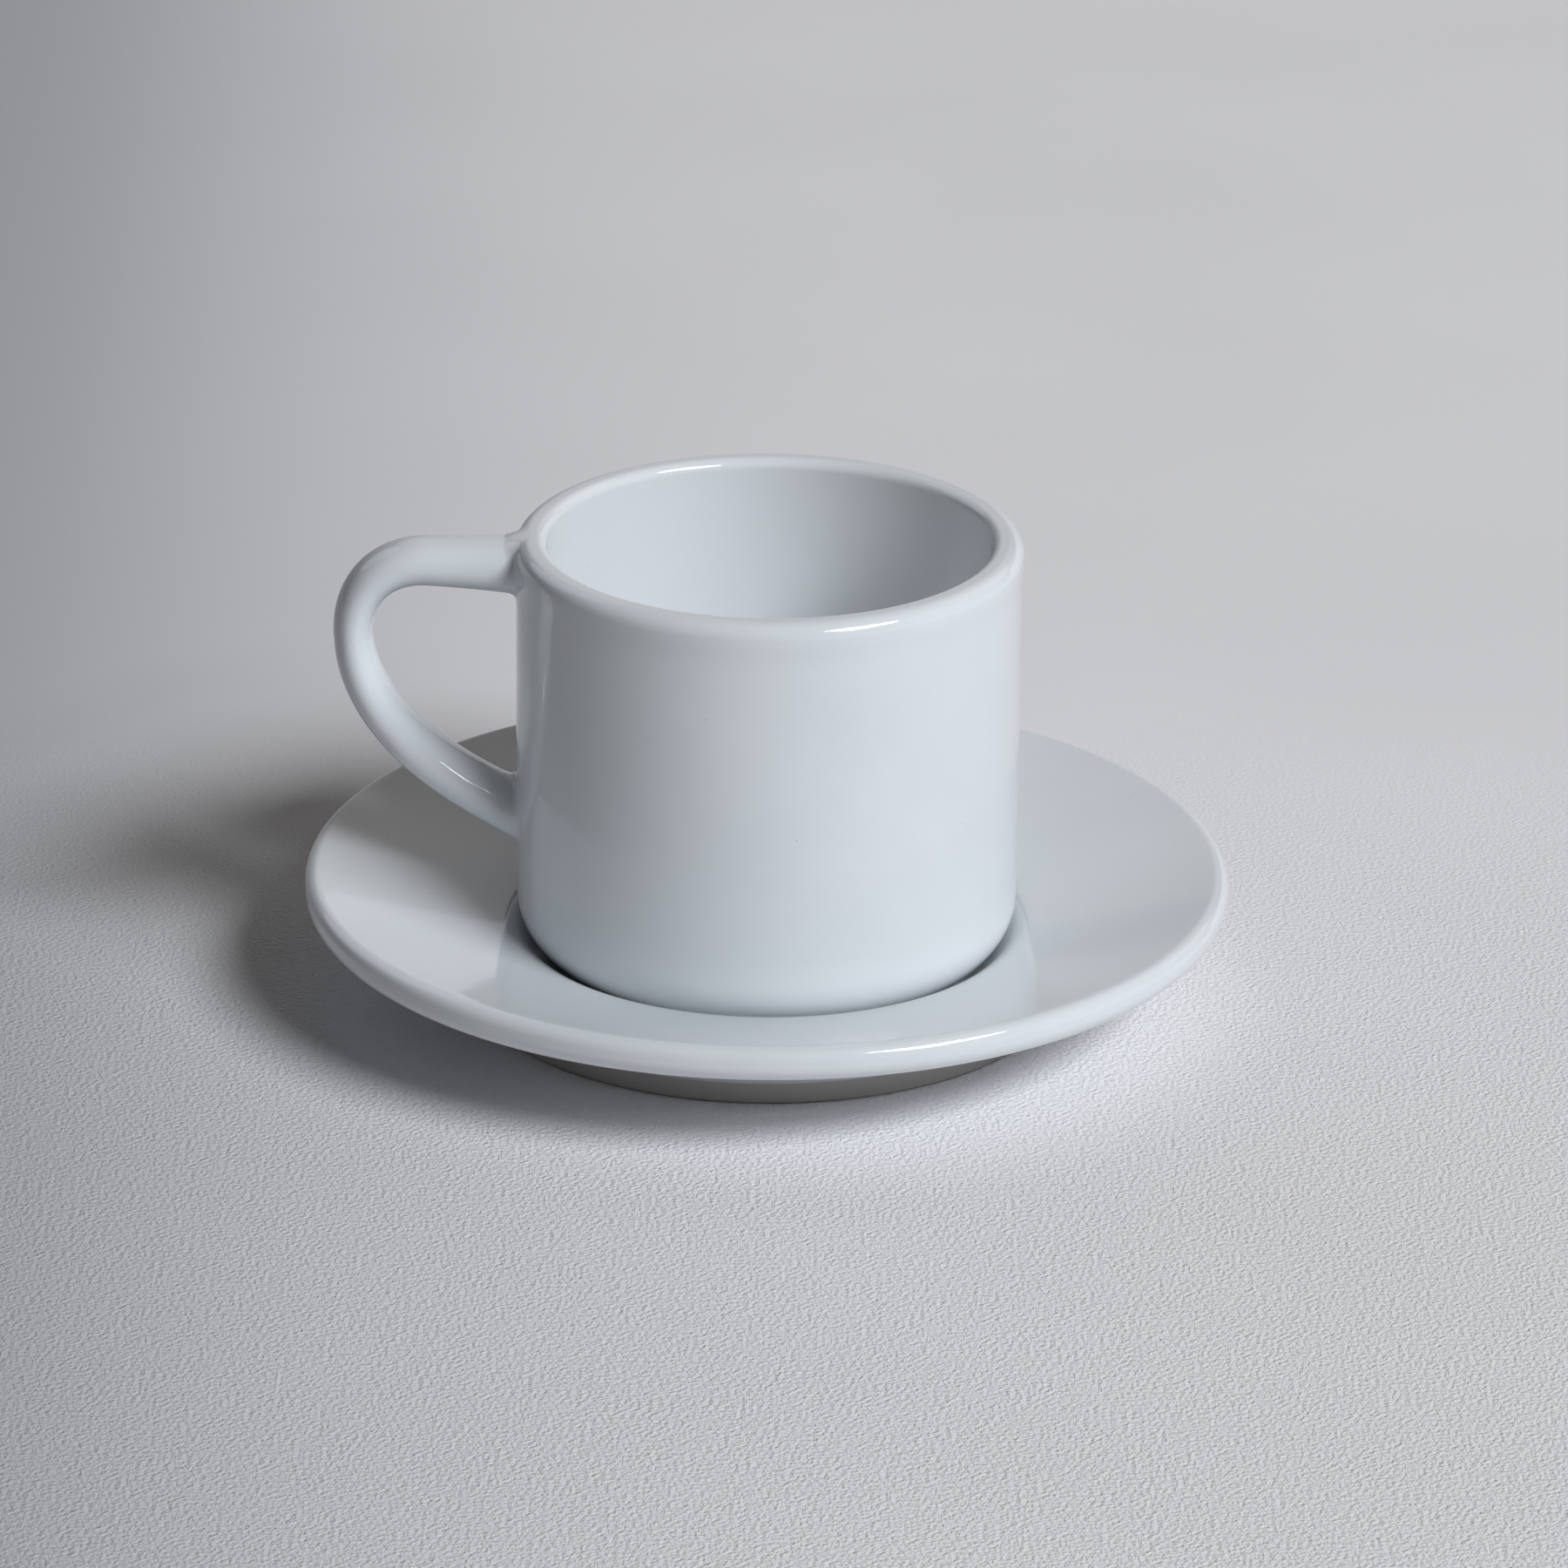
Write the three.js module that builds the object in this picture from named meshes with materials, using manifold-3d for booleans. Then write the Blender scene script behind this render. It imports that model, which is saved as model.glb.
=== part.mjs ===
// Cappuccino cup standing in the well of its saucer, white glazed porcelain.
// Millimetres, +Z up, handle towards -X. The origin is the middle of the saucer's foot, on the table.

import * as THREE from 'three';
import { mergeVertices } from 'three/addons/utils/BufferGeometryUtils.js';
import Module from 'manifold-3d';

// Saucer
const SAUCER_RADIUS = 75;
const SAUCER_HEIGHT = 20.9;
const FLANGE_THICKNESS = 5.5;
const EDGE_TOP_ROUND = 2;
const EDGE_BOTTOM_ROUND = 3;
const SAUCER_FLOOR = 3.8;
const SAUCER_FOOT_DEPTH = 1.8;
const SAUCER_FOOT_WIDTH = 4;
const SAUCER_FOOT_FLARE = 1.2;
const SAUCER_FOOT_ROUND = 0.7;
const UNDERSIDE_FILLET = 3;
const WELL_DEPTH = 6.4;
const WELL_CLEARANCE = 0.6;
const WELL_SLOPE_WIDTH = 7.3;
const WELL_FILLET = 6;
const WELL_WALL = 3.4;
const LIP_ROUND = 8;

// Cup
const CUP_HEIGHT = 72.1;
const CUP_RADIUS = 40.6;
const BELLY_HEIGHT = 40;
const WALL_FOOT_TAPER = 0.1;
const BOTTOM_CORNER = 9.7;
const CUP_FLOOR = 3.6;
const CUP_FOOT_STEP = 1.3;
const CUP_FOOT_RECESS = 2;
const CUP_FOOT_WIDTH = 3.2;
const CUP_FOOT_INSET = 2.1;
const CUP_FOOT_ROUND = 0.6;
const INNER_DRAFT = 0.6;
const INNER_CORNER = 10;

// Rim bead of the cup
const RIM_THICKNESS = 5.1;
const RIM_OUTER_ROUND = 2.5;
const RIM_INNER_ROUND = 1.7;
const BEAD_PROUD = 0.15;
const BEAD_HEIGHT = 3.7;
const NECK_DEPTH = 0.1;
const NECK_DROP = 2.6;
const BEAD_BLEND = 20;
const BELLY_BLEND = 500;

// Handle
const HANDLE_DROP = 4.5;
const HANDLE_PROJECTION = 29.2;
const HANDLE_BEND_WIDTH = 12.1;
const HANDLE_BEND_HEIGHT = 12.3;
const HANDLE_LOWER_HEIGHT = 23.8;
const HANDLE_LOWER_PITCH = THREE.MathUtils.degToRad(24.5);
const HANDLE_DEPTH = 10.8;
const SECTION_POWER = 2.1;
const UPPER_THICKNESS = 7.45;
const WAIST_THICKNESS = 6.2;
const LOWER_THICKNESS = 8.2;
const UPPER_FLARE = 0.8;
const UPPER_FLARE_LENGTH = 12;
const LOWER_FLARE = 0.3;
const LOWER_FLARE_LENGTH = 3;
const ROOT_SPREAD = 0.8;
const ROOT_SPREAD_LENGTH = 4;
const ROOT_DEPTH = 2.25;
const SLIP_JOINT = 0.3;

// How far the handle's curves follow their end directions, as shares of each stretch
const BEND_PULL = 0.6;
const SWEEP_PULL = 0.28;
const LOWER_PULL = 0.85;

// Facets
const RADIAL_SEGMENTS = 60;
const ARC_STEP = THREE.MathUtils.degToRad(22.5);
const HANDLE_STATIONS = 34;
const HANDLE_SIDES = 20;

// Sizes that follow from the ones above
const wellRadius = CUP_RADIUS + WELL_CLEARANCE;
const wellFloorHeight = SAUCER_FOOT_DEPTH + SAUCER_FLOOR;
const wallFootRadius = CUP_RADIUS - WALL_FOOT_TAPER;
const rimRadius = CUP_RADIUS + BEAD_PROUD;
const rimInnerRadius = rimRadius - RIM_THICKNESS;
const neckRadius = CUP_RADIUS - NECK_DEPTH;
const beadBottom = CUP_HEIGHT - BEAD_HEIGHT;
const neckHeight = beadBottom - NECK_DROP;

const wasm = await Module();
wasm.setup();

const polar = (radius, angle) => new THREE.Vector2(radius * Math.cos(angle), radius * Math.sin(angle));

// Outline in the (radius, height) half-plane. Each corner is [radius, height, rounding].
function roundedOutline(corners) {
  const at = (index) => new THREE.Vector2(corners[index][0], corners[index][1]);
  const points = [];
  corners.forEach(([, , rounding = 0], index) => {
    const corner = at(index);
    if (rounding === 0) {
      points.push(corner);
      return;
    }
    const toPrevious = at(index - 1).sub(corner).normalize();
    const toNext = at(index + 1).sub(corner).normalize();
    const halfAngle = Math.acos(THREE.MathUtils.clamp(toPrevious.dot(toNext), -1, 1)) / 2;
    const bisector = toPrevious.clone().add(toNext).normalize();
    const centre = corner.clone().addScaledVector(bisector, rounding / Math.sin(halfAngle));
    const reach = rounding / Math.tan(halfAngle);
    const start = corner.clone().addScaledVector(toPrevious, reach).sub(centre).angle();
    const end = corner.clone().addScaledVector(toNext, reach).sub(centre).angle();
    const sweep = THREE.MathUtils.euclideanModulo(end - start + Math.PI, 2 * Math.PI) - Math.PI;
    const steps = Math.max(1, Math.ceil(Math.abs(sweep) / ARC_STEP));
    for (let step = 0; step <= steps; step += 1) {
      points.push(polar(rounding, start + (sweep * step) / steps).add(centre));
    }
  });
  return points;
}

// Only positions are kept, with the seam and the points on the axis merged, so that the body is closed.
function closed(geometry) {
  geometry.deleteAttribute('normal');
  geometry.deleteAttribute('uv');
  return mergeVertices(geometry, 1e-4);
}

function revolved(corners) {
  const outline = roundedOutline(corners);
  return closed(new THREE.LatheGeometry(outline, RADIAL_SEGMENTS).rotateX(Math.PI / 2));
}

function toSolid(geometry) {
  const vertProperties = new Float32Array(geometry.attributes.position.array);
  const triVerts = new Uint32Array(geometry.index.array);
  return new wasm.Manifold(new wasm.Mesh({ numProp: 3, vertProperties, triVerts }));
}

function toGeometry(solid) {
  const mesh = solid.getMesh();
  const geometry = new THREE.BufferGeometry();
  geometry.setAttribute('position', new THREE.BufferAttribute(mesh.vertProperties, 3));
  geometry.setIndex(new THREE.BufferAttribute(mesh.triVerts, 1));
  return geometry;
}

function porcelain(name, geometry) {
  geometry.computeVertexNormals();
  const glaze = new THREE.MeshStandardMaterial({ color: 0xdfe3e8, roughness: 0.12, metalness: 0 });
  const mesh = new THREE.Mesh(geometry, glaze);
  mesh.name = name;
  return mesh;
}

// Saucer: the flange is an even slab with an upright, rounded edge.
// Its top rolls over the lip into the sloping well.
function saucerGeometry() {
  const lip = new THREE.Vector2(wellRadius, wellFloorHeight + WELL_DEPTH);
  const edgeRound = new THREE.Vector2(SAUCER_RADIUS - EDGE_TOP_ROUND, SAUCER_HEIGHT - EDGE_TOP_ROUND);
  const toEdge = edgeRound.sub(lip);
  const slope = toEdge.angle() + Math.asin(EDGE_TOP_ROUND / toEdge.length());
  const topHeight = (radius) => lip.y + (radius - lip.x) * Math.tan(slope);
  const undersideHeight = (radius) => topHeight(radius) - FLANGE_THICKNESS / Math.cos(slope);

  const footInner = wellRadius + WELL_WALL;
  const footOuter = footInner + SAUCER_FOOT_WIDTH;
  const footTop = footOuter + SAUCER_FOOT_FLARE;
  return revolved([
    [0, SAUCER_FOOT_DEPTH],
    [footInner, SAUCER_FOOT_DEPTH, SAUCER_FOOT_ROUND],
    [footInner, 0, SAUCER_FOOT_ROUND],
    [footOuter, 0, SAUCER_FOOT_ROUND],
    [footTop, undersideHeight(footTop), UNDERSIDE_FILLET],
    [SAUCER_RADIUS, undersideHeight(SAUCER_RADIUS), EDGE_BOTTOM_ROUND],
    [SAUCER_RADIUS, topHeight(SAUCER_RADIUS), EDGE_TOP_ROUND],
    [lip.x, lip.y, LIP_ROUND],
    [wellRadius - WELL_SLOPE_WIDTH, wellFloorHeight, WELL_FILLET],
    [0, wellFloorHeight],
  ]);
}

// Outside of the cup's wall, from the bottom corner up to the top of the rim, grown outwards by a clearance.
function outerWall(grow) {
  return [
    [wallFootRadius + grow, CUP_FOOT_STEP - grow, BOTTOM_CORNER + grow],
    [CUP_RADIUS + grow, BELLY_HEIGHT, BELLY_BLEND],
    [neckRadius + grow, neckHeight, BEAD_BLEND],
    [rimRadius + grow, beadBottom, BEAD_BLEND],
    [rimRadius + grow, CUP_HEIGHT + grow, RIM_OUTER_ROUND + grow],
  ];
}

// Cup: a thick wall with a rounded rim and a low foot ring, its inside a little narrower towards the floor.
function cupGeometry() {
  const footOuter = wallFootRadius - BOTTOM_CORNER - CUP_FOOT_INSET;
  const footInner = footOuter - CUP_FOOT_WIDTH;
  const floorHeight = CUP_FOOT_RECESS + CUP_FLOOR;
  return revolved([
    [0, CUP_FOOT_RECESS],
    [footInner, CUP_FOOT_RECESS, CUP_FOOT_ROUND],
    [footInner, 0, CUP_FOOT_ROUND],
    [footOuter, 0, CUP_FOOT_ROUND],
    [footOuter, CUP_FOOT_STEP, CUP_FOOT_ROUND],
    ...outerWall(0),
    [rimInnerRadius, CUP_HEIGHT, RIM_INNER_ROUND],
    [rimInnerRadius - INNER_DRAFT, floorHeight, INNER_CORNER],
    [0, floorHeight],
  ]);
}

// Line through the middle of the handle: level upper arm, round bend, then a long sweep back to the wall.
const upperRoot = new THREE.Vector3(-(rimRadius - RIM_THICKNESS / 2), 0, CUP_HEIGHT - HANDLE_DROP);
const lowerRoot = new THREE.Vector3(-(CUP_RADIUS - ROOT_DEPTH), 0, HANDLE_LOWER_HEIGHT);
const handleReach = CUP_RADIUS + HANDLE_PROJECTION - WAIST_THICKNESS / 2;

function handlePath() {
  const armEnd = new THREE.Vector3(-(handleReach - HANDLE_BEND_WIDTH), 0, upperRoot.z);
  const outermost = new THREE.Vector3(-handleReach, 0, upperRoot.z - HANDLE_BEND_HEIGHT);
  const upperPull = armEnd.clone().setX(armEnd.x - HANDLE_BEND_WIDTH * BEND_PULL);
  const outerPull = outermost.clone().setZ(outermost.z + HANDLE_BEND_HEIGHT * BEND_PULL);
  const sweepHeight = outermost.z - lowerRoot.z;
  const sweepWidth = lowerRoot.x - outermost.x;
  const sweepPull = outermost.clone().setZ(outermost.z - sweepHeight * SWEEP_PULL);
  const lowerPull = new THREE.Vector3(-Math.cos(HANDLE_LOWER_PITCH), 0, Math.sin(HANDLE_LOWER_PITCH));
  lowerPull.multiplyScalar(sweepWidth * LOWER_PULL).add(lowerRoot);
  const path = new THREE.CurvePath();
  path.add(new THREE.LineCurve3(upperRoot, armEnd));
  path.add(new THREE.CubicBezierCurve3(armEnd, upperPull, outerPull, outermost));
  path.add(new THREE.CubicBezierCurve3(outermost, sweepPull, lowerPull, lowerRoot));
  return path;
}

// Section at a point of the line: thinnest at the outermost point, thicker and deeper at the wall.
// The upper arm's flare hangs below it, so that its top stays level.
function handleSection(point, waistPoint, fraction) {
  const upper = fraction < waistPoint;
  const span = upper ? waistPoint : 1 - waistPoint;
  const rise = Math.sin((Math.PI / 2) * (Math.abs(fraction - waistPoint) / span));
  const distance = Math.max(0, -point.x - CUP_RADIUS);
  const upperFlare = UPPER_FLARE * Math.exp(-distance / UPPER_FLARE_LENGTH);
  const lowerFlare = LOWER_FLARE * Math.exp(-distance / LOWER_FLARE_LENGTH);
  const flare = upper ? upperFlare : lowerFlare;
  const endThickness = upper ? UPPER_THICKNESS : LOWER_THICKNESS;
  return {
    centre: upper ? point.clone().setZ(point.z - flare) : point,
    halfThickness: THREE.MathUtils.lerp(WAIST_THICKNESS, endThickness, rise) / 2 + flare,
    halfDepth: HANDLE_DEPTH / 2 + ROOT_SPREAD * Math.exp(-distance / ROOT_SPREAD_LENGTH),
  };
}

// Share of a half width, for a section between an oval and a rounded rectangle.
const bulged = (share) => Math.sign(share) * Math.abs(share) ** (2 / SECTION_POWER);

// Sections lofted along the handle's line, closer together near both ends.
function handleLoft() {
  const path = handlePath();
  const lengths = path.getCurveLengths();
  const waistPoint = lengths[1] / lengths[2];
  const positions = [];
  const indices = [];
  for (let station = 0; station <= HANDLE_STATIONS; station += 1) {
    const fraction = (1 - Math.cos((Math.PI * station) / HANDLE_STATIONS)) / 2;
    const point = path.getPoint(fraction);
    const tangent = path.getTangent(fraction);
    const normal = new THREE.Vector3(-tangent.z, 0, tangent.x);
    const { centre, halfThickness, halfDepth } = handleSection(point, waistPoint, fraction);
    for (let side = 0; side < HANDLE_SIDES; side += 1) {
      const angle = (2 * Math.PI * side) / HANDLE_SIDES;
      const vertex = centre.clone().addScaledVector(normal, halfThickness * bulged(Math.cos(angle)));
      positions.push(vertex.x, halfDepth * bulged(Math.sin(angle)), vertex.z);
    }
  }
  const ring = (station, side) => station * HANDLE_SIDES + (side % HANDLE_SIDES);
  for (let station = 0; station < HANDLE_STATIONS; station += 1) {
    for (let side = 0; side < HANDLE_SIDES; side += 1) {
      const [a, b] = [ring(station, side), ring(station, side + 1)];
      const [c, d] = [ring(station + 1, side + 1), ring(station + 1, side)];
      indices.push(a, c, b, a, d, c);
    }
  }
  for (let side = 1; side < HANDLE_SIDES - 1; side += 1) {
    indices.push(ring(0, 0), ring(0, side), ring(0, side + 1));
    indices.push(ring(HANDLE_STATIONS, 0), ring(HANDLE_STATIONS, side + 1), ring(HANDLE_STATIONS, side));
  }
  const geometry = new THREE.BufferGeometry();
  geometry.setAttribute('position', new THREE.Float32BufferAttribute(positions, 3));
  geometry.setIndex(indices);
  return geometry;
}

// The handle ends on the cup's wall and rim, a slip joint's width away from them.
function handleGeometry() {
  const wallAndInside = revolved([
    [0, CUP_FOOT_STEP - SLIP_JOINT],
    ...outerWall(SLIP_JOINT),
    [0, CUP_HEIGHT + SLIP_JOINT],
  ]);
  return toGeometry(toSolid(handleLoft()).subtract(toSolid(wallAndInside)));
}

const cup = new THREE.Group();
cup.position.z = wellFloorHeight;
cup.add(porcelain('cup_body', cupGeometry()));
cup.add(porcelain('cup_handle', handleGeometry()));

const cupAndSaucer = new THREE.Group();
cupAndSaucer.add(porcelain('saucer', saucerGeometry()));
cupAndSaucer.add(cup);

export default cupAndSaucer;
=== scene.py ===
"""Looks of the cappuccino cup and its saucer: glazed porcelain on a plain pale floor.

Metres, +Z up, handle towards -X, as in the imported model. Each piece is a fine, smooth mesh with the
outline of its CAD node. The handle runs into the cup's wall with the rounded joint that the glaze covers.
"""

import math

import bpy
import numpy as np
from mathutils import Matrix, Vector


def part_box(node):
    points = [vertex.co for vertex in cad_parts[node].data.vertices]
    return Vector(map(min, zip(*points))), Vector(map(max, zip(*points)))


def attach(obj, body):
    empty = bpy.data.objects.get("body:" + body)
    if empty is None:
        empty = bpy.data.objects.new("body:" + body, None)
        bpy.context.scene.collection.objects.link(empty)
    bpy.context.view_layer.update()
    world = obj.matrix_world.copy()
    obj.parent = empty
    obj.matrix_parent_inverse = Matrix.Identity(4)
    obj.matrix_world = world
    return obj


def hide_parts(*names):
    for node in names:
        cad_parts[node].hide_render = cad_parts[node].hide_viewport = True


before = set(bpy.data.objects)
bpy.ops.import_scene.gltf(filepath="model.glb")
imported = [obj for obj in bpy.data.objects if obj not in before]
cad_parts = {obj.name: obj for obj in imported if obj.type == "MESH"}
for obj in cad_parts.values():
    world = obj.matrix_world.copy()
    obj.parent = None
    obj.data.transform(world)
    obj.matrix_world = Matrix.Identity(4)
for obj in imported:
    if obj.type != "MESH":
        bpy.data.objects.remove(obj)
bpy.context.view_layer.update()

MM = 0.001

# Sizes read from the frame
_, saucer_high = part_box("saucer")
cup_low, cup_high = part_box("cup_body")
handle_low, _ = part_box("cup_handle")
saucer_radius = saucer_high.x
saucer_height = saucer_high.z
cup_base = cup_low.z
cup_height = cup_high.z - cup_low.z
rim_radius = cup_high.x
handle_tip = -handle_low.x

# Saucer
FLANGE_THICKNESS = 5.5 * MM
EDGE_TOP_ROUND = 2 * MM
EDGE_BOTTOM_ROUND = 3 * MM
SAUCER_FOOT_DEPTH = 1.8 * MM
SAUCER_FOOT_WIDTH = 4 * MM
SAUCER_FOOT_FLARE = 1.2 * MM
SAUCER_FOOT_ROUND = 0.7 * MM
UNDERSIDE_FILLET = 3 * MM
WELL_DEPTH = 6.4 * MM
WELL_CLEARANCE = 0.6 * MM
WELL_SLOPE_WIDTH = 7.3 * MM
WELL_FILLET = 6 * MM
WELL_WALL = 3.4 * MM
LIP_ROUND = 8 * MM

# Cup
BELLY_HEIGHT = 40 * MM
WALL_FOOT_TAPER = 0.1 * MM
BOTTOM_CORNER = 9.7 * MM
CUP_FLOOR = 3.6 * MM
CUP_FOOT_STEP = 1.3 * MM
CUP_FOOT_RECESS = 2 * MM
CUP_FOOT_WIDTH = 3.2 * MM
CUP_FOOT_INSET = 2.1 * MM
CUP_FOOT_ROUND = 0.6 * MM
INNER_DRAFT = 0.6 * MM
INNER_CORNER = 10 * MM

# Rim bead of the cup
RIM_THICKNESS = 5.1 * MM
RIM_OUTER_ROUND = 2.5 * MM
RIM_INNER_ROUND = 1.7 * MM
BEAD_PROUD = 0.15 * MM
BEAD_HEIGHT = 3.7 * MM
NECK_DEPTH = 0.1 * MM
NECK_DROP = 2.6 * MM
BEAD_BLEND = 20 * MM
BELLY_BLEND = 500 * MM

# Handle
HANDLE_DROP = 4.5 * MM
HANDLE_BEND_WIDTH = 12.1 * MM
HANDLE_BEND_HEIGHT = 12.3 * MM
HANDLE_LOWER_HEIGHT = 23.8 * MM
HANDLE_LOWER_PITCH = math.radians(24.5)
HANDLE_DEPTH = 10.8 * MM
SECTION_POWER = 2.1
UPPER_THICKNESS = 7.45 * MM
WAIST_THICKNESS = 6.2 * MM
LOWER_THICKNESS = 8.2 * MM
UPPER_FLARE = 0.8 * MM
UPPER_FLARE_LENGTH = 12 * MM
LOWER_FLARE = 0.3 * MM
LOWER_FLARE_LENGTH = 3 * MM
ROOT_SPREAD = 0.8 * MM
ROOT_SPREAD_LENGTH = 4 * MM
ROOT_DEPTH = 2.25 * MM
BEND_PULL = 0.6
SWEEP_PULL = 0.28
LOWER_PULL = 0.85

# Rounded slip joints between handle and wall: their size beside, above and below the handle
UPPER_JOINT = {"beside": 1.6 * MM, "above": 2.0 * MM, "below": 1.4 * MM}
LOWER_JOINT = {"beside": 2.0 * MM, "above": 2.0 * MM, "below": 1.2 * MM}
JOINT_SKIRT = 1.2 * MM
JOINT_SINK = 0.03 * MM
JOINT_ROOT = 0.8 * MM

# Fineness of the meshes
SEGMENTS = 256
ARC_STEP = math.radians(4)
LONGEST_STRAIGHT = 2 * MM
HANDLE_STATIONS = 120
HANDLE_SIDES = 72
JOINT_RINGS = 10
LINE_SAMPLES = 400
WALL_STEP = 0.03 * MM

# Glaze: colours, and sizes of its marks
GLAZE_THICK = (0.755, 0.79, 0.825, 1)
GLAZE_THIN = (0.785, 0.818, 0.852, 1)
# Painted light: the cup's inside is painted this lighter glaze, standing in for the light inside it.
GLAZE_INSIDE_PAINTED_LIGHT = (0.83, 0.858, 0.886, 1)
# Biscuit colour of the bare foot ring; on the saucer it also paints shade up the foot's side.
BISCUIT_AND_FOOT_SHADE = (0.50, 0.485, 0.46, 1)
SPECK = (0.30, 0.27, 0.24, 1)
GLAZE_IOR = 1.52
GLAZE_ROUGHNESS = (0.03, 0.07)
BARE_EXTRA_ROUGHNESS = 0.6
CLOUD_SIZE = 35 * MM
CLOUD_RANGE = (0.35, 0.65)
RIPPLE_SIZE = 9 * MM
RIPPLE_DEPTH = 0.012 * MM
TURNING_PITCH = 0.9 * MM
TURNING_DEPTH = 0.0003 * MM
SPECK_SPACING = 6.5 * MM
SPECK_RADIUS = 0.16 * MM
SPECK_STRENGTH = 0.6
# The saucer's biscuit band runs up the foot's side as painted shade under the saucer, above its bare ring.
BARE_AND_SHADED_SAUCER_FOOT = 4 * MM
BARE_CUP_FOOT = 0.35 * MM
BARE_FADE = 0.3 * MM

# Camera, as fitted to the photograph's outlines
CAMERA_PLACE = Vector((2.672, -1174.746, 514.214)) * MM
CAMERA_ELEVATION = math.radians(22.2)
CAMERA_ROLL = math.radians(0.5)
CAMERA_LENS = 180
CAMERA_SENSOR = 36

# Oval soft boxes. Brightness is that of a white surface at the object's place that faces the lamp. The low
# lamp makes the streak on the handle's lower arm.
LAMPS = {
    "key_lamp": {
        "azimuth": -42, "elevation": 41, "distance": 8.0, "width": 4.45, "height": 2.1,
        "brightness": 0.795, "colour": (0.965, 1.0, 1.035),
    },
    "low_lamp": {
        "azimuth": -50, "elevation": 30, "distance": 8.0, "width": 2.0, "height": 0.42,
        "brightness": 0.055, "colour": (0.965, 1.0, 1.035),
    },
    "side_fill": {
        "azimuth": 45, "elevation": 35, "distance": 5.0, "width": 3.0, "height": 3.0,
        "brightness": 0.045, "colour": (1.12, 1.0, 0.88),
    },
    "back_fill": {
        "azimuth": 90, "elevation": 32, "distance": 5.0, "width": 3.2, "height": 3.2,
        "brightness": 0.035, "colour": (1.08, 1.0, 0.94),
    },
    "left_fill": {
        "azimuth": 135, "elevation": 35, "distance": 5.0, "width": 3.0, "height": 3.0,
        "brightness": 0.06, "colour": (0.87, 1.0, 1.16),
    },
}
SKY_COLOUR = (0.043, 0.037, 0.029)
BACKDROP_COLOUR = (0.52, 0.53, 0.55)

# Floor: a plain sheet that bends up far behind the object. It has a fine grain in front. Its colour has
# painted
# shade: it gets darker towards the handle's side, standing in for light that falls off there.
FLOOR_SIZE = 6.0
FLOOR_BEND = 0.5
FLOOR_RISE = 0.9
FLOOR_COLOURS = ((0.886, 0.874, 0.890, 1), (0.912, 0.900, 0.916, 1))
FLOOR_PAINTED_SHADE_COLOUR = (0.476, 0.476, 0.496, 1)
FLOOR_PAINTED_SHADE_START = 80 * MM
FLOOR_PAINTED_SHADE_END = -130 * MM
FLOOR_PAINTED_SHADE_SLANT = 0.05
FLOOR_PAINTED_SHADE_POWER = 3.0
FLOOR_PAINTED_SHADE_SOFTNESS = 0.6
FLOOR_ROUGHNESS = 0.9
FLOOR_CLOUD_SIZE = 110 * MM
FLOOR_CLOUD_RANGE = (0.3, 0.7)
FLOOR_GRAIN_SIZE = 0.8 * MM
FLOOR_GRAIN_DEPTH = 0.58 * MM
FLOOR_GRAIN_START = 150 * MM
FLOOR_GRAIN_FULL = -30 * MM

# Radii and heights that follow from the ones above
cup_radius = rim_radius - BEAD_PROUD
well_radius = cup_radius + WELL_CLEARANCE
wall_foot_radius = cup_radius - WALL_FOOT_TAPER
rim_inner_radius = rim_radius - RIM_THICKNESS
neck_radius = cup_radius - NECK_DEPTH
bead_bottom = cup_height - BEAD_HEIGHT
neck_height = bead_bottom - NECK_DROP
saucer_foot_inner = well_radius + WELL_WALL
saucer_foot_outer = saucer_foot_inner + SAUCER_FOOT_WIDTH
cup_foot_outer = wall_foot_radius - BOTTOM_CORNER - CUP_FOOT_INSET
cup_foot_inner = cup_foot_outer - CUP_FOOT_WIDTH


def polar(length, angle):
    return np.array([length * math.cos(angle), length * math.sin(angle)])


def unit(vector):
    return vector / np.linalg.norm(vector)


def rounded_outline(corners):
    """Points of a flat outline. A corner is (across, height), with its rounding third if it is round."""
    points = []
    places = [np.array(corner[:2]) for corner in corners]
    for index, corner in enumerate(corners):
        place = places[index]
        rounding = corner[2] if len(corner) > 2 else 0
        if rounding == 0:
            points.append(place)
            continue
        to_previous = unit(places[index - 1] - place)
        to_next = unit(places[index + 1] - place)
        half_angle = math.acos(float(np.clip(to_previous @ to_next, -1, 1))) / 2
        centre = place + unit(to_previous + to_next) * rounding / math.sin(half_angle)
        reach = rounding / math.tan(half_angle)
        start = place + to_previous * reach - centre
        end = place + to_next * reach - centre
        start_angle = math.atan2(start[1], start[0])
        end_angle = math.atan2(end[1], end[0])
        sweep = (end_angle - start_angle + math.pi) % (2 * math.pi) - math.pi
        steps = max(1, math.ceil(abs(sweep) / ARC_STEP))
        for step in range(steps + 1):
            points.append(polar(rounding, start_angle + sweep * step / steps) + centre)
    return points


def with_straights_divided(points, longest):
    """The same outline with no stretch between two points longer than that."""
    divided = [points[0]]
    for start, end in zip(points, points[1:]):
        parts = max(1, math.ceil(np.linalg.norm(end - start) / longest))
        divided += [start + (end - start) * part / parts for part in range(1, parts + 1)]
    return np.array(divided)


def add_mesh(name, vertices, faces):
    mesh = bpy.data.meshes.new(name)
    mesh.from_pydata([tuple(v) for v in vertices], [], faces)
    mesh.validate()
    mesh.shade_smooth()
    piece = bpy.data.objects.new(name, mesh)
    bpy.context.scene.collection.objects.link(piece)
    return piece


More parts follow.
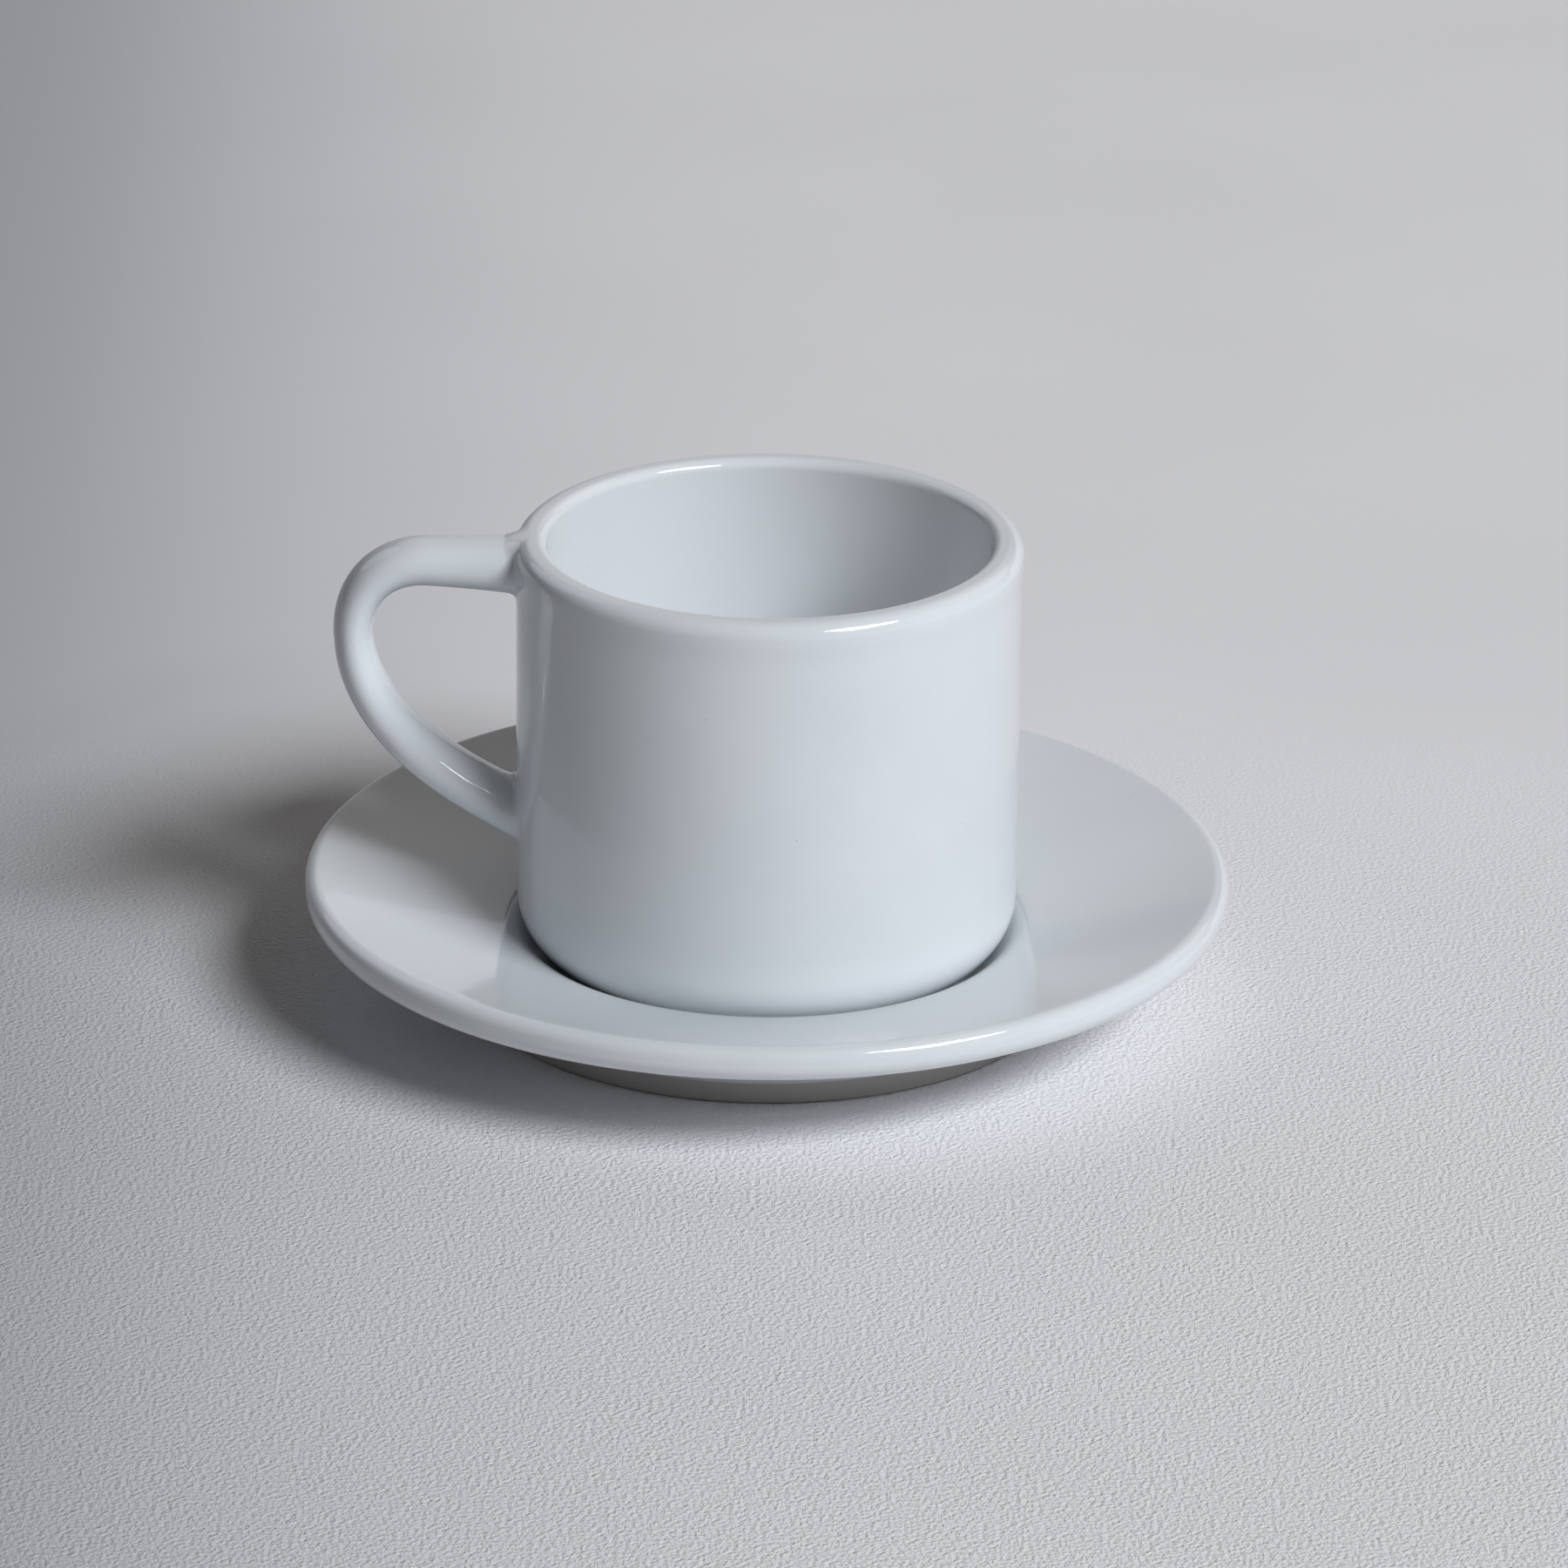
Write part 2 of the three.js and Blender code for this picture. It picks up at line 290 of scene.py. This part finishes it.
def revolved(name, outline, base):
    """Closed piece turned about Z from an outline that starts and ends on the axis."""
    rings = with_straights_divided(outline, LONGEST_STRAIGHT)
    bottom, top = rings[0], rings[-1]
    rings = rings[1:-1]
    angles = np.arange(SEGMENTS) * 2 * math.pi / SEGMENTS
    vertices = [(0, 0, bottom[1] + base)]
    for radius, height in rings:
        vertices += [(radius * math.cos(a), radius * math.sin(a), height + base) for a in angles]
    vertices.append((0, 0, top[1] + base))
    last = len(vertices) - 1

    def vertex(ring, segment):
        return 1 + ring * SEGMENTS + segment % SEGMENTS

    faces = []
    for s in range(SEGMENTS):
        faces.append((0, vertex(0, s + 1), vertex(0, s)))
        faces.append((last, vertex(len(rings) - 1, s), vertex(len(rings) - 1, s + 1)))
        for r in range(len(rings) - 1):
            faces.append((vertex(r, s), vertex(r, s + 1), vertex(r + 1, s + 1), vertex(r + 1, s)))
    return add_mesh(name, vertices, faces)


def saucer_outline():
    lip = np.array([well_radius, cup_base + WELL_DEPTH])
    edge_round = np.array([saucer_radius - EDGE_TOP_ROUND, saucer_height - EDGE_TOP_ROUND])
    to_edge = edge_round - lip
    slope = math.atan2(to_edge[1], to_edge[0]) + math.asin(EDGE_TOP_ROUND / np.linalg.norm(to_edge))

    def top_height(radius):
        return lip[1] + (radius - lip[0]) * math.tan(slope)

    def underside_height(radius):
        return top_height(radius) - FLANGE_THICKNESS / math.cos(slope)

    foot_top = saucer_foot_outer + SAUCER_FOOT_FLARE
    return rounded_outline([
        (0, SAUCER_FOOT_DEPTH),
        (saucer_foot_inner, SAUCER_FOOT_DEPTH, SAUCER_FOOT_ROUND),
        (saucer_foot_inner, 0, SAUCER_FOOT_ROUND),
        (saucer_foot_outer, 0, SAUCER_FOOT_ROUND),
        (foot_top, underside_height(foot_top), UNDERSIDE_FILLET),
        (saucer_radius, underside_height(saucer_radius), EDGE_BOTTOM_ROUND),
        (saucer_radius, top_height(saucer_radius), EDGE_TOP_ROUND),
        (*lip, LIP_ROUND),
        (well_radius - WELL_SLOPE_WIDTH, cup_base, WELL_FILLET),
        (0, cup_base),
    ])


def outer_wall_corners():
    """Outside of the cup's wall, from the bottom corner up to the top of the rim."""
    return [
        (wall_foot_radius, CUP_FOOT_STEP, BOTTOM_CORNER),
        (cup_radius, BELLY_HEIGHT, BELLY_BLEND),
        (neck_radius, neck_height, BEAD_BLEND),
        (rim_radius, bead_bottom, BEAD_BLEND),
        (rim_radius, cup_height, RIM_OUTER_ROUND),
    ]


def cup_outline():
    floor_height = CUP_FOOT_RECESS + CUP_FLOOR
    return rounded_outline([
        (0, CUP_FOOT_RECESS),
        (cup_foot_inner, CUP_FOOT_RECESS, CUP_FOOT_ROUND),
        (cup_foot_inner, 0, CUP_FOOT_ROUND),
        (cup_foot_outer, 0, CUP_FOOT_ROUND),
        (cup_foot_outer, CUP_FOOT_STEP, CUP_FOOT_ROUND),
        *outer_wall_corners(),
        (rim_inner_radius, cup_height, RIM_INNER_ROUND),
        (rim_inner_radius - INNER_DRAFT, floor_height, INNER_CORNER),
        (0, floor_height),
    ])


class Wall:
    """Outside of the cup as a flat map: distance round the cup, distance up the outline, height above it."""

    def __init__(self):
        corners = [(0, CUP_FOOT_STEP), *outer_wall_corners()]
        corners += [(rim_inner_radius, cup_height, RIM_INNER_ROUND), (rim_inner_radius, bead_bottom)]
        self.points = with_straights_divided(rounded_outline(corners), WALL_STEP)
        steps = np.diff(self.points, axis=0)
        self.up = np.concatenate([[0], np.cumsum(np.linalg.norm(steps, axis=1))])
        along = np.gradient(self.points, self.up, axis=0)
        along /= np.linalg.norm(along, axis=1)[:, None]
        self.normals = np.stack([along[:, 1], -along[:, 0]], axis=1)

    def to_map(self, places):
        """Round, up and above for places in the cup's own frame, given as an array of rows."""
        flat = places.reshape(-1, 3)
        radial = np.stack([np.hypot(flat[:, 0], flat[:, 1]), flat[:, 2]], axis=1)
        nearest = np.array([np.argmin(((self.points - p) ** 2).sum(axis=1)) for p in radial])
        above = ((radial - self.points[nearest]) * self.normals[nearest]).sum(axis=1)
        round_cup = np.arctan2(flat[:, 1], -flat[:, 0]) * cup_radius
        return np.stack([round_cup, self.up[nearest], above], axis=1).reshape(places.shape)

    def from_map(self, mapped):
        angle = mapped[..., 0] / cup_radius
        at = {}
        for axis, name in enumerate(("radius", "height")):
            on_wall = np.interp(mapped[..., 1], self.up, self.points[:, axis])
            lean = np.interp(mapped[..., 1], self.up, self.normals[:, axis])
            at[name] = on_wall + mapped[..., 2] * lean
        return np.stack([-at["radius"] * np.cos(angle), at["radius"] * np.sin(angle), at["height"]], axis=-1)


def bezier(start, start_pull, end_pull, end):
    t = np.linspace(0, 1, LINE_SAMPLES)[:, None]
    near_start = (1 - t) ** 3 * start + 3 * t * (1 - t) ** 2 * start_pull
    near_end = 3 * t ** 2 * (1 - t) * end_pull + t ** 3 * end
    return near_start + near_end


def bulged(share):
    """Share of a half width, for a section between an oval and a rounded rectangle."""
    return np.sign(share) * np.abs(share) ** (2 / SECTION_POWER)


class HandleLine:
    """Line through the middle of the handle in the (x, height) plane, with its section at each fraction."""

    def __init__(self):
        upper_root = np.array([-(rim_radius - RIM_THICKNESS / 2), cup_height - HANDLE_DROP])
        lower_root = np.array([-(cup_radius - ROOT_DEPTH), HANDLE_LOWER_HEIGHT])
        reach = handle_tip - WAIST_THICKNESS / 2
        arm_end = np.array([-(reach - HANDLE_BEND_WIDTH), upper_root[1]])
        outermost = np.array([-reach, upper_root[1] - HANDLE_BEND_HEIGHT])
        upper_pull = arm_end - [HANDLE_BEND_WIDTH * BEND_PULL, 0]
        outer_pull = outermost + [0, HANDLE_BEND_HEIGHT * BEND_PULL]
        sweep_pull = outermost - [0, (outermost[1] - lower_root[1]) * SWEEP_PULL]
        lower_length = (lower_root[0] - outermost[0]) * LOWER_PULL
        lower_pull = lower_root + polar(lower_length, math.pi - HANDLE_LOWER_PITCH)
        arm = np.linspace(upper_root, arm_end, LINE_SAMPLES)
        bend = bezier(arm_end, upper_pull, outer_pull, outermost)
        sweep = bezier(outermost, sweep_pull, lower_pull, lower_root)
        self.points = np.concatenate([arm, bend[1:], sweep[1:]])
        lengths = np.linalg.norm(np.diff(self.points, axis=0), axis=1)
        self.fractions = np.concatenate([[0], np.cumsum(lengths)]) / lengths.sum()
        self.waist = self.fractions[len(arm) + len(bend) - 2]
        tangents = np.gradient(self.points, self.fractions, axis=0)
        self.tangents = tangents / np.linalg.norm(tangents, axis=1)[:, None]

    def along(self, values, fraction):
        return np.interp(fraction, self.fractions, values)

    def surface(self, fraction, angle):
        """Places on the handle's surface in the cup's own frame; angle 0 is its outer face, round by -Y."""
        x, height = (self.along(self.points[:, axis], fraction) for axis in (0, 1))
        lean_x, lean_height = (self.along(self.tangents[:, axis], fraction) for axis in (0, 1))
        upper = fraction < self.waist
        span = np.where(upper, self.waist, 1 - self.waist)
        rise = np.sin(math.pi / 2 * np.abs(fraction - self.waist) / span)
        end_thickness = np.where(upper, UPPER_THICKNESS, LOWER_THICKNESS)
        distance = np.maximum(0, -x - cup_radius)
        upper_flare = UPPER_FLARE * np.exp(-distance / UPPER_FLARE_LENGTH)
        lower_flare = LOWER_FLARE * np.exp(-distance / LOWER_FLARE_LENGTH)
        flare = np.where(upper, upper_flare, lower_flare)
        half_thickness = (WAIST_THICKNESS + (end_thickness - WAIST_THICKNESS) * rise) / 2 + flare
        half_depth = HANDLE_DEPTH / 2 + ROOT_SPREAD * np.exp(-distance / ROOT_SPREAD_LENGTH)
        out = half_thickness * bulged(np.cos(angle))
        centre_height = height - np.where(upper, upper_flare, 0)
        return np.stack([
            x + out * lean_height,
            -half_depth * bulged(np.sin(angle)),
            centre_height - out * lean_x,
        ], axis=-1)


def crossing(fractions, above, level):
    """Fraction where a row of heights above the wall, going outwards, first passes a level."""
    outside = int(np.argmax(above > level))
    share = (level - above[outside - 1]) / (above[outside] - above[outside - 1])
    return fractions[outside - 1] + share * (fractions[outside] - fractions[outside - 1])


def slip_joint(wall, line, angles, joint, fractions, top_angle):
    """Rings of one joint, from the handle out over the wall, and the fraction where each side of it starts.

    The fractions run from the wall outwards.
    """
    facing_up = np.cos(angles - top_angle)
    size = joint["beside"] + np.where(
        facing_up > 0,
        (joint["above"] - joint["beside"]) * facing_up ** 2,
        (joint["below"] - joint["beside"]) * facing_up ** 2,
    )
    starts = np.zeros(len(angles))
    feet = np.zeros(len(angles))
    for side, angle in enumerate(angles):
        above = wall.to_map(line.surface(fractions, np.full(len(fractions), angle)))[:, 2]
        feet[side] = crossing(fractions, above, 0)
        starts[side] = crossing(fractions, above, size[side])
    start = wall.to_map(line.surface(starts, angles))
    foot = wall.to_map(line.surface(feet, angles))
    foot[:, 2] = 0
    round_foot = np.roll(foot, -1, axis=0) - np.roll(foot, 1, axis=0)
    outward = np.stack([round_foot[:, 1], -round_foot[:, 0]], axis=1)
    outward /= np.linalg.norm(outward, axis=1)[:, None]
    if ((foot - foot.mean(axis=0))[:, :2] * outward).sum() < 0:
        outward = -outward

    def spread(distance, above):
        ring = foot.copy()
        ring[:, :2] += outward * np.broadcast_to(distance, len(angles))[:, None]
        ring[:, 2] = above
        return ring

    end = spread(size, 0)
    rings = []
    for t in np.linspace(0, 1, JOINT_RINGS + 1)[1:]:
        rings.append((1 - t) ** 2 * start + 2 * t * (1 - t) * foot + t ** 2 * end)
    rings.append(spread(size + JOINT_SKIRT, -JOINT_SINK))
    rings.append(spread(size, -JOINT_ROOT))
    rings.append(spread(0, -JOINT_ROOT))
    return [wall.from_map(ring) for ring in rings], starts


def handle_piece(name):
    """Handle as one closed mesh: the lofted bow with a rounded slip joint at each end."""
    wall = Wall()
    line = HandleLine()
    angles = np.arange(HANDLE_SIDES) * 2 * math.pi / HANDLE_SIDES
    share = np.linspace(0, 1, LINE_SAMPLES)
    upper, upper_starts = slip_joint(wall, line, angles, UPPER_JOINT, share * line.waist, 0)
    lower, lower_starts = slip_joint(wall, line, angles, LOWER_JOINT, 1 - share * (1 - line.waist), math.pi)
    spacing = (1 - np.cos(math.pi * np.linspace(0, 1, HANDLE_STATIONS + 1))) / 2
    bow = [line.surface(upper_starts + (lower_starts - upper_starts) * s, angles) for s in spacing]
    rings = upper[::-1] + bow + lower
    vertices = np.concatenate(rings)
    ends = np.array([rings[0].mean(axis=0), rings[-1].mean(axis=0)])
    vertices = np.concatenate([vertices, ends]) + [0, 0, cup_base]

    def vertex(ring, side):
        return ring * HANDLE_SIDES + side % HANDLE_SIDES

    faces = []
    first_end = len(rings) * HANDLE_SIDES
    for s in range(HANDLE_SIDES):
        faces.append((first_end, vertex(0, s), vertex(0, s + 1)))
        faces.append((first_end + 1, vertex(len(rings) - 1, s + 1), vertex(len(rings) - 1, s)))
        for r in range(len(rings) - 1):
            faces.append((vertex(r, s), vertex(r + 1, s), vertex(r + 1, s + 1), vertex(r, s + 1)))
    return add_mesh(name, vertices, faces)


class Nodes:
    """Short way to add nodes to a material and link them."""

    # Places of the colour sockets of a Mix node
    MIX_FACTOR = 0
    MIX_FIRST = 6
    MIX_SECOND = 7
    MIX_RESULT = 2

    def __init__(self, name):
        self.material = bpy.data.materials.new(name)
        self.material.use_nodes = True
        self.tree = self.material.node_tree
        self.tree.nodes.clear()

    def set(self, socket, value):
        if isinstance(value, bpy.types.NodeSocket):
            self.tree.links.new(value, socket)
        else:
            socket.default_value = value

    def add(self, kind, settings=None, **inputs):
        node = self.tree.nodes.new("ShaderNode" + kind)
        for key, value in (settings or {}).items():
            setattr(node, key, value)
        for key, value in inputs.items():
            self.set(node.inputs[key.replace("_", " ")], value)
        return node

    def maths(self, operation, *values):
        node = self.add("Math", {"operation": operation})
        for socket, value in zip(node.inputs, values):
            self.set(socket, value)
        return node.outputs[0]

    def between(self, factor, low, high):
        """Number that goes from low to high as the factor goes from 0 to 1."""
        return self.add("MapRange", Value=factor, To_Min=low, To_Max=high).outputs[0]

    def step(self, value, start, end):
        """0 below start, 1 above end and smooth between them; start may lie above end."""
        smooth = {"interpolation_type": "SMOOTHSTEP"}
        return self.add("MapRange", smooth, Value=value, From_Min=start, From_Max=end).outputs[0]

    def mix(self, factor, first, second):
        node = self.add("Mix", {"data_type": "RGBA"})
        self.set(node.inputs[self.MIX_FACTOR], factor)
        self.set(node.inputs[self.MIX_FIRST], first)
        self.set(node.inputs[self.MIX_SECOND], second)
        return node.outputs[self.MIX_RESULT]

    def output(self, shader):
        out = self.add("OutputMaterial")
        self.tree.links.new(shader.outputs[0], out.inputs[0])
        return self.material


def porcelain(name, foot_radius, bare_height, turned, painted_light_inside=False):
    """Glazed porcelain: cloudy glaze, faint ripple, specks, a bare foot ring, and lines on turned pieces.

    The foot is painted the biscuit colour outside its inner radius and below the bare height. On the saucer
    this band is carried up the foot's side as painted shade under the saucer. With painted light inside, the
    cup's inside is painted a lighter glaze, standing in for the light inside it.
    """
    nodes = Nodes(name)
    place = nodes.add("TexCoord").outputs["Object"]
    parts = nodes.add("SeparateXYZ", Vector=place)
    height = parts.outputs["Z"]
    radius = nodes.maths("SQRT", nodes.maths(
        "ADD",
        nodes.maths("MULTIPLY", parts.outputs["X"], parts.outputs["X"]),
        nodes.maths("MULTIPLY", parts.outputs["Y"], parts.outputs["Y"]),
    ))

    cloud = nodes.add("TexNoise", Vector=place, Scale=1 / CLOUD_SIZE, Detail=3.0)
    colour = nodes.mix(nodes.step(cloud.outputs[0], *CLOUD_RANGE), GLAZE_THICK, GLAZE_THIN)

    # Painted light: inside the cup the glaze is painted lighter, standing in for the light inside it.
    if painted_light_inside:
        within = nodes.step(radius, rim_radius - RIM_OUTER_ROUND, rim_inner_radius)
        floor_height = cup_base + CUP_FOOT_RECESS + CUP_FLOOR
        above_floor = nodes.step(height, floor_height - CUP_FLOOR / 2, floor_height)
        colour = nodes.mix(nodes.maths("MULTIPLY", within, above_floor), colour, GLAZE_INSIDE_PAINTED_LIGHT)

    speck_cells = nodes.add("TexVoronoi", Vector=place, Scale=1 / SPECK_SPACING)
    speck_reach = nodes.maths("MULTIPLY", speck_cells.outputs["Distance"], SPECK_SPACING)
    speck = nodes.step(speck_reach, SPECK_RADIUS, SPECK_RADIUS / 3)
    colour = nodes.mix(nodes.maths("MULTIPLY", speck, SPECK_STRENGTH), colour, SPECK)

    # Painted shade: on the saucer the biscuit band runs up the foot's side, where shade falls under the
    # saucer.
    low = nodes.step(height, bare_height, bare_height - BARE_FADE)
    bare = nodes.maths("MULTIPLY", low, nodes.step(radius, foot_radius - BARE_FADE, foot_radius))
    colour = nodes.mix(bare, colour, BISCUIT_AND_FOOT_SHADE)

    ripple = nodes.add("TexNoise", Vector=place, Scale=1 / RIPPLE_SIZE, Detail=1.0)
    rough = nodes.between(ripple.outputs[0], *GLAZE_ROUGHNESS)
    rough = nodes.maths("ADD", rough, nodes.maths("MULTIPLY", bare, BARE_EXTRA_ROUGHNESS))

    bump = nodes.add("Bump", Strength=1.0, Distance=RIPPLE_DEPTH, Height=ripple.outputs[0])
    if turned:
        way = nodes.maths("DIVIDE", nodes.maths("ADD", radius, height), TURNING_PITCH)
        lines = nodes.add("TexNoise", {"noise_dimensions": "1D"}, W=way, Scale=1.0, Detail=2.0).outputs[0]
        rippled = bump.outputs[0]
        bump = nodes.add("Bump", Strength=1.0, Distance=TURNING_DEPTH, Height=lines, Normal=rippled)

    shader = nodes.add(
        "BsdfPrincipled", Base_Color=colour, Roughness=rough, IOR=GLAZE_IOR, Normal=bump.outputs[0],
    )
    return nodes.output(shader)


def floor_material():
    nodes = Nodes("floor_pale")
    place = nodes.add("TexCoord").outputs["Object"]
    cloud = nodes.add("TexNoise", Vector=place, Scale=1 / FLOOR_CLOUD_SIZE, Detail=2.0)
    colour = nodes.mix(nodes.step(cloud.outputs[0], *FLOOR_CLOUD_RANGE), *FLOOR_COLOURS)
    parts = nodes.add("SeparateXYZ", Vector=place)
    # Painted shade: the floor's colour darkens slantwise towards the handle's side, where light falls off.
    way = nodes.maths("MULTIPLY_ADD", parts.outputs["Y"], FLOOR_PAINTED_SHADE_SLANT, parts.outputs["X"])
    per_length = 1 / (FLOOR_PAINTED_SHADE_END - FLOOR_PAINTED_SHADE_START)
    share = nodes.maths("MULTIPLY_ADD", way, per_length, -FLOOR_PAINTED_SHADE_START * per_length)
    dim = nodes.maths("SMOOTH_MIN", nodes.maths("POWER", share, FLOOR_PAINTED_SHADE_POWER), 1.0, FLOOR_PAINTED_SHADE_SOFTNESS)
    colour = nodes.mix(dim, colour, FLOOR_PAINTED_SHADE_COLOUR)
    grain = nodes.add("TexNoise", Vector=place, Scale=1 / FLOOR_GRAIN_SIZE, Detail=2.0)
    in_front = nodes.step(parts.outputs["Y"], FLOOR_GRAIN_START, FLOOR_GRAIN_FULL)
    bump = nodes.add("Bump", Strength=in_front, Distance=FLOOR_GRAIN_DEPTH, Height=grain.outputs[0])
    shader = nodes.add(
        "BsdfPrincipled", Base_Color=colour, Roughness=FLOOR_ROUGHNESS, Normal=bump.outputs[0],
    )
    return nodes.output(shader)


def dress(piece, body, node, material):
    piece.data.materials.append(material)
    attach(piece, body)
    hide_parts(node)


def add_pieces():
    saucer = revolved("saucer_glazed", saucer_outline(), 0)
    saucer_glaze = porcelain("saucer_porcelain", saucer_foot_inner, BARE_AND_SHADED_SAUCER_FOOT, True)
    dress(saucer, "saucer", "saucer", saucer_glaze)
    cup = revolved("cup_body_glazed", cup_outline(), cup_base)
    cup_glaze = porcelain("cup_porcelain", cup_foot_inner, cup_base + BARE_CUP_FOOT, True, painted_light_inside=True)
    dress(cup, "cup", "cup_body", cup_glaze)
    handle = handle_piece("cup_handle_glazed")
    handle_glaze = porcelain("handle_porcelain", cup_foot_inner, cup_base + BARE_CUP_FOOT, False)
    dress(handle, "cup", "cup_handle", handle_glaze)


def add_floor():
    half = FLOOR_SIZE / 2
    outline = rounded_outline([(-half, 0), (half, 0, FLOOR_BEND), (half, FLOOR_RISE)])
    count = len(outline)
    vertices = [(x, away, height) for x in (half, -half) for away, height in outline]
    faces = [(i, i + 1, count + i + 1, count + i) for i in range(count - 1)]
    floor = add_mesh("floor", vertices, faces)
    floor.data.materials.append(floor_material())


def add_camera():
    data = bpy.data.cameras.new("camera")
    data.lens = CAMERA_LENS
    data.sensor_width = CAMERA_SENSOR
    camera = bpy.data.objects.new("camera", data)
    tilt = Matrix.Rotation(math.pi / 2 - CAMERA_ELEVATION, 4, "X")
    camera.matrix_world = Matrix.Translation(CAMERA_PLACE) @ tilt @ Matrix.Rotation(CAMERA_ROLL, 4, "Z")
    bpy.context.scene.collection.objects.link(camera)
    bpy.context.scene.camera = camera


def add_soft_box(name, lamp):
    data = bpy.data.lights.new(name, "AREA")
    data.shape = "ELLIPSE"
    data.size = lamp["width"]
    data.size_y = lamp["height"]
    data.energy = lamp["brightness"] * (math.pi * lamp["distance"]) ** 2
    data.color = lamp["colour"]
    light = bpy.data.objects.new(name, data)
    azimuth, elevation = math.radians(lamp["azimuth"]), math.radians(lamp["elevation"])
    level = math.cos(elevation)
    towards = Vector((level * math.cos(azimuth), level * math.sin(azimuth), math.sin(elevation)))
    light.location = towards * lamp["distance"]
    light.rotation_mode = "QUATERNION"
    light.rotation_quaternion = towards.to_track_quat("Z", "Y")
    bpy.context.scene.collection.objects.link(light)


def add_sky():
    """Even light from all round; the camera sees a plain pale backdrop instead."""
    world = bpy.data.worlds.new("studio")
    world.use_nodes = True
    tree = world.node_tree
    tree.nodes.clear()
    light = tree.nodes.new("ShaderNodeBackground")
    light.inputs["Color"].default_value = (*SKY_COLOUR, 1)
    seen = tree.nodes.new("ShaderNodeBackground")
    seen.inputs["Color"].default_value = (*BACKDROP_COLOUR, 1)
    path = tree.nodes.new("ShaderNodeLightPath")
    choose = tree.nodes.new("ShaderNodeMixShader")
    out = tree.nodes.new("ShaderNodeOutputWorld")
    tree.links.new(path.outputs["Is Camera Ray"], choose.inputs[0])
    tree.links.new(light.outputs[0], choose.inputs[1])
    tree.links.new(seen.outputs[0], choose.inputs[2])
    tree.links.new(choose.outputs[0], out.inputs[0])
    bpy.context.scene.world = world


add_pieces()
add_floor()
add_camera()
for lamp_name, lamp_settings in LAMPS.items():
    add_soft_box(lamp_name, lamp_settings)
add_sky()
bpy.context.scene.view_settings.view_transform = "Standard"
